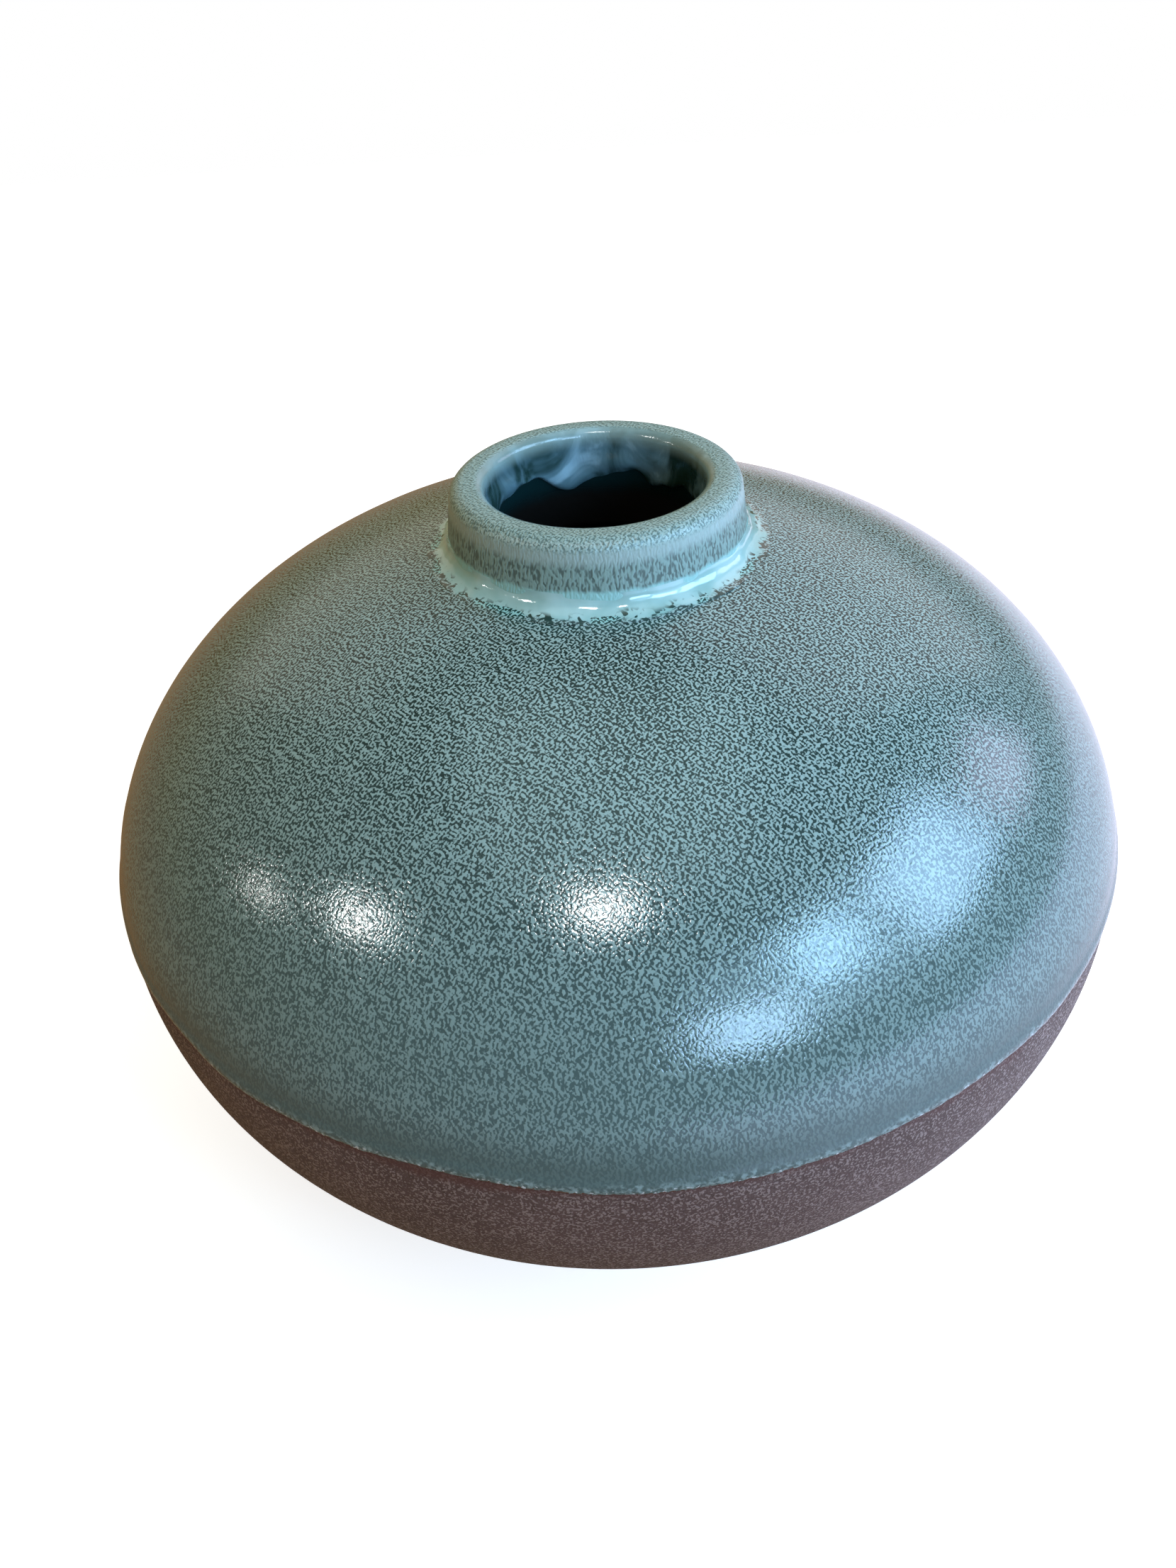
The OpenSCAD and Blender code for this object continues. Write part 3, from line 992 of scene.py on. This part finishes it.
# Each light's name, azimuth (0 is the viewer's side, 90 the right), elevation, distance, width, height,
# radiance, colour, and the rays that see it.
LAMPS = (
    ("overhead lamp", -5, 59.5, 1.2, 0.175, 0.165, 38.0, (1.00, 0.99, 0.97), "glossy"),
    ("left lamp", -65, 36, 1.2, 0.155, 0.145, 32.0, (1.00, 0.99, 0.96), "glossy"),
    ("far left lamp", -85, 22, 1.2, 0.085, 0.085, 24.0, (1.00, 0.98, 0.94), "glossy"),
    ("window right", 79, 29, 1.2, 0.54, 0.50, 9.8, (0.39, 0.66, 1.00), "both"),
    ("window near right", 47, 33, 1.2, 0.30, 0.32, 14.2, (0.36, 0.67, 1.00), "both"),
    ("window front right", 24, 22, 1.2, 0.40, 0.26, 13.5, (0.41, 0.68, 1.00), "both"),
    ("window far right", 105, 20, 1.2, 0.34, 0.35, 3.8, (0.70, 0.72, 1.00), "both"),
    ("right haze", 50, 30, 1.2, 1.30, 0.60, 2.7, (0.40, 0.70, 1.00), "glossy"),
    ("ceiling", 0, 89, 1.4, 1.20, 1.20, 1.15, (0.80, 1.00, 0.98), "diffuse"),
    ("ceiling sheen", 0, 88, 1.4, 1.20, 1.20, 0.75, (0.75, 1.00, 1.00), "glossy"),
    ("overhead glow", -4, 60, 1.2, 0.50, 0.50, 0.8, (1.00, 0.45, 0.30), "diffuse"),
    ("back left wall", -150, 30, 1.5, 1.20, 1.00, 0.4, (1.00, 0.90, 0.80), "both"),
    ("back wall", 147, 35, 1.5, 1.20, 1.30, 0.8, (1.00, 0.90, 0.96), "both"),
)
FLOOR_LEFT = (0.41, 0.245, 0.12)
FLOOR_RIGHT = (1.35, 1.20, 1.32)
ROOM_GLOOM = (0.26, 0.17, 0.05)


class VASE_OT_stage(bpy.types.Operator):
    """Lay the floor, hang the soft lights and set the camera"""

    bl_idname = "vase.stage"
    bl_label = "Set the stage"

    def execute(self, context):
        scene = context.scene
        self.lay_floor(scene)
        scene.world = self.room()
        for lamp in LAMPS:
            self.hang(*lamp)
        self.place_camera(scene)
        scene.view_settings.view_transform = "Standard"
        return {"FINISHED"}

    def lay_floor(self, scene):
        """Lays a plain floor just under the foot."""
        clear_selection()
        bpy.ops.mesh.primitive_plane_add(size=1.7, location=(0, 0, -0.05 * MM))
        floor = bpy.context.object
        floor.name = "floor"
        floor.data.materials.append(self.floor_material(scene.vase_colours.floor))

    def place_camera(self, scene):
        """Sets the camera close in front of the vase, looking down at it."""
        studio = scene.vase_studio
        camera_data = bpy.data.cameras.new("camera")
        camera_data.lens = studio.focal_length
        camera_data.sensor_width = 36
        camera_data.clip_start = 0.01
        camera = bpy.data.objects.new("camera", camera_data)
        scene.collection.objects.link(camera)
        camera.location = (0, -studio.camera_back, studio.camera_up)
        camera.rotation_euler = studio.camera_turn
        scene.camera = camera

    def floor_material(self, colour):
        """A floor pale to the camera, which throws dim light on the left and bright on the right."""
        material, tree, shader, place = start_material("pale floor")
        seen = tree.nodes.new("ShaderNodeLightPath").outputs["Is Camera Ray"]
        across = add(tree, "ShaderNodeSeparateXYZ", {0: place}).outputs[0]
        thrown = mixed(tree, eased(tree, across, 0.0, 0.13), FLOOR_LEFT, FLOOR_RIGHT)
        shade = mixed(tree, seen, thrown, colour)
        cloudy = part_of(tree, noise(tree, place, scale=3.0, detail=2.0), 0.04)
        shade = mixed(tree, cloudy, shade, (0.5, 0.5, 0.5))
        tree.links.new(shade, shader.inputs["Base Color"])
        tree.links.new(part_of(tree, seen, 0.65), shader.inputs["Emission Strength"])
        shader.inputs["Emission Color"].default_value = (1, 1, 1, 1)
        shader.inputs["Roughness"].default_value = 0.95
        shader.inputs["Specular IOR Level"].default_value = 0.1
        return material

    def room(self):
        """A dim room that looks white where the camera sees past the floor."""
        world = bpy.data.worlds.new("studio")
        world.use_nodes = True
        tree = world.node_tree
        background = tree.nodes["Background"]
        seen = tree.nodes.new("ShaderNodeLightPath").outputs["Is Camera Ray"]
        tree.links.new(mixed(tree, seen, ROOM_GLOOM, (1.0, 1.0, 1.0)), background.inputs["Color"])
        return world

    def hang(self, name, azimuth, elevation, distance, width, height, radiance, colour, rays):
        """Hangs one flat light that faces the belly."""
        lamp = bpy.data.lights.new(name, "AREA")
        lamp.shape = "RECTANGLE"
        lamp.size = width
        lamp.size_y = height
        lamp.energy = radiance * math.pi * width * height
        lamp.color = colour
        hung = bpy.data.objects.new(name, lamp)
        bpy.context.scene.collection.objects.link(hung)
        turn, rise = math.radians(azimuth), math.radians(elevation)
        hung.rotation_euler = (QUARTER_TURN - rise, 0, turn)
        away = (math.sin(turn) * math.cos(rise), -math.cos(turn) * math.cos(rise), math.sin(rise))
        belly = bpy.context.scene.vase_clay.belly_height
        hung.location = (away[0] * distance, away[1] * distance, away[2] * distance + belly)
        hung.visible_camera = False
        hung.visible_diffuse = rays != "glossy"
        hung.visible_glossy = rays != "diffuse"


class VASE_PT_sidebar(bpy.types.Panel):
    """Lists the steps that make the vase"""

    bl_idname = "VASE_PT_sidebar"
    bl_label = "Bud vase"
    bl_space_type = "VIEW_3D"
    bl_region_type = "UI"
    bl_category = "Vase"

    def draw(self, context):
        for step in STEPS:
            self.layout.operator(step.bl_idname)
        for group in (context.scene.vase_clay, context.scene.vase_glaze, context.scene.vase_colours):
            box = self.layout.box()
            for name in group.bl_rna.properties.keys():
                if name not in ("rna_type", "name"):
                    box.prop(group, name)


STEPS = (
    VASE_OT_foot_ring,
    VASE_OT_lower_bowl,
    VASE_OT_shoulder,
    VASE_OT_collar,
    VASE_OT_coat,
    VASE_OT_lip,
    VASE_OT_pool,
    VASE_OT_liner,
    VASE_OT_stage,
)
SETTINGS = {
    "vase_clay": VaseClaySizes,
    "vase_glaze": VaseGlazeSizes,
    "vase_colours": VaseColours,
    "vase_studio": VaseStudio,
}


def register():
    """Registers the settings, the steps and the panel."""
    for name, kind in SETTINGS.items():
        bpy.utils.register_class(kind)
        setattr(bpy.types.Scene, name, PointerProperty(type=kind))
    for kind in (*STEPS, VASE_PT_sidebar):
        bpy.utils.register_class(kind)


def unregister():
    """Takes them away again."""
    for kind in (VASE_PT_sidebar, *reversed(STEPS)):
        bpy.utils.unregister_class(kind)
    for name, kind in SETTINGS.items():
        delattr(bpy.types.Scene, name)
        bpy.utils.unregister_class(kind)


def main():
    """Makes the whole vase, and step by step."""
    register()
    for step in STEPS:
        group, action = step.bl_idname.split(".")
        getattr(getattr(bpy.ops, group), action)()


if __name__ == "__main__":
    main()
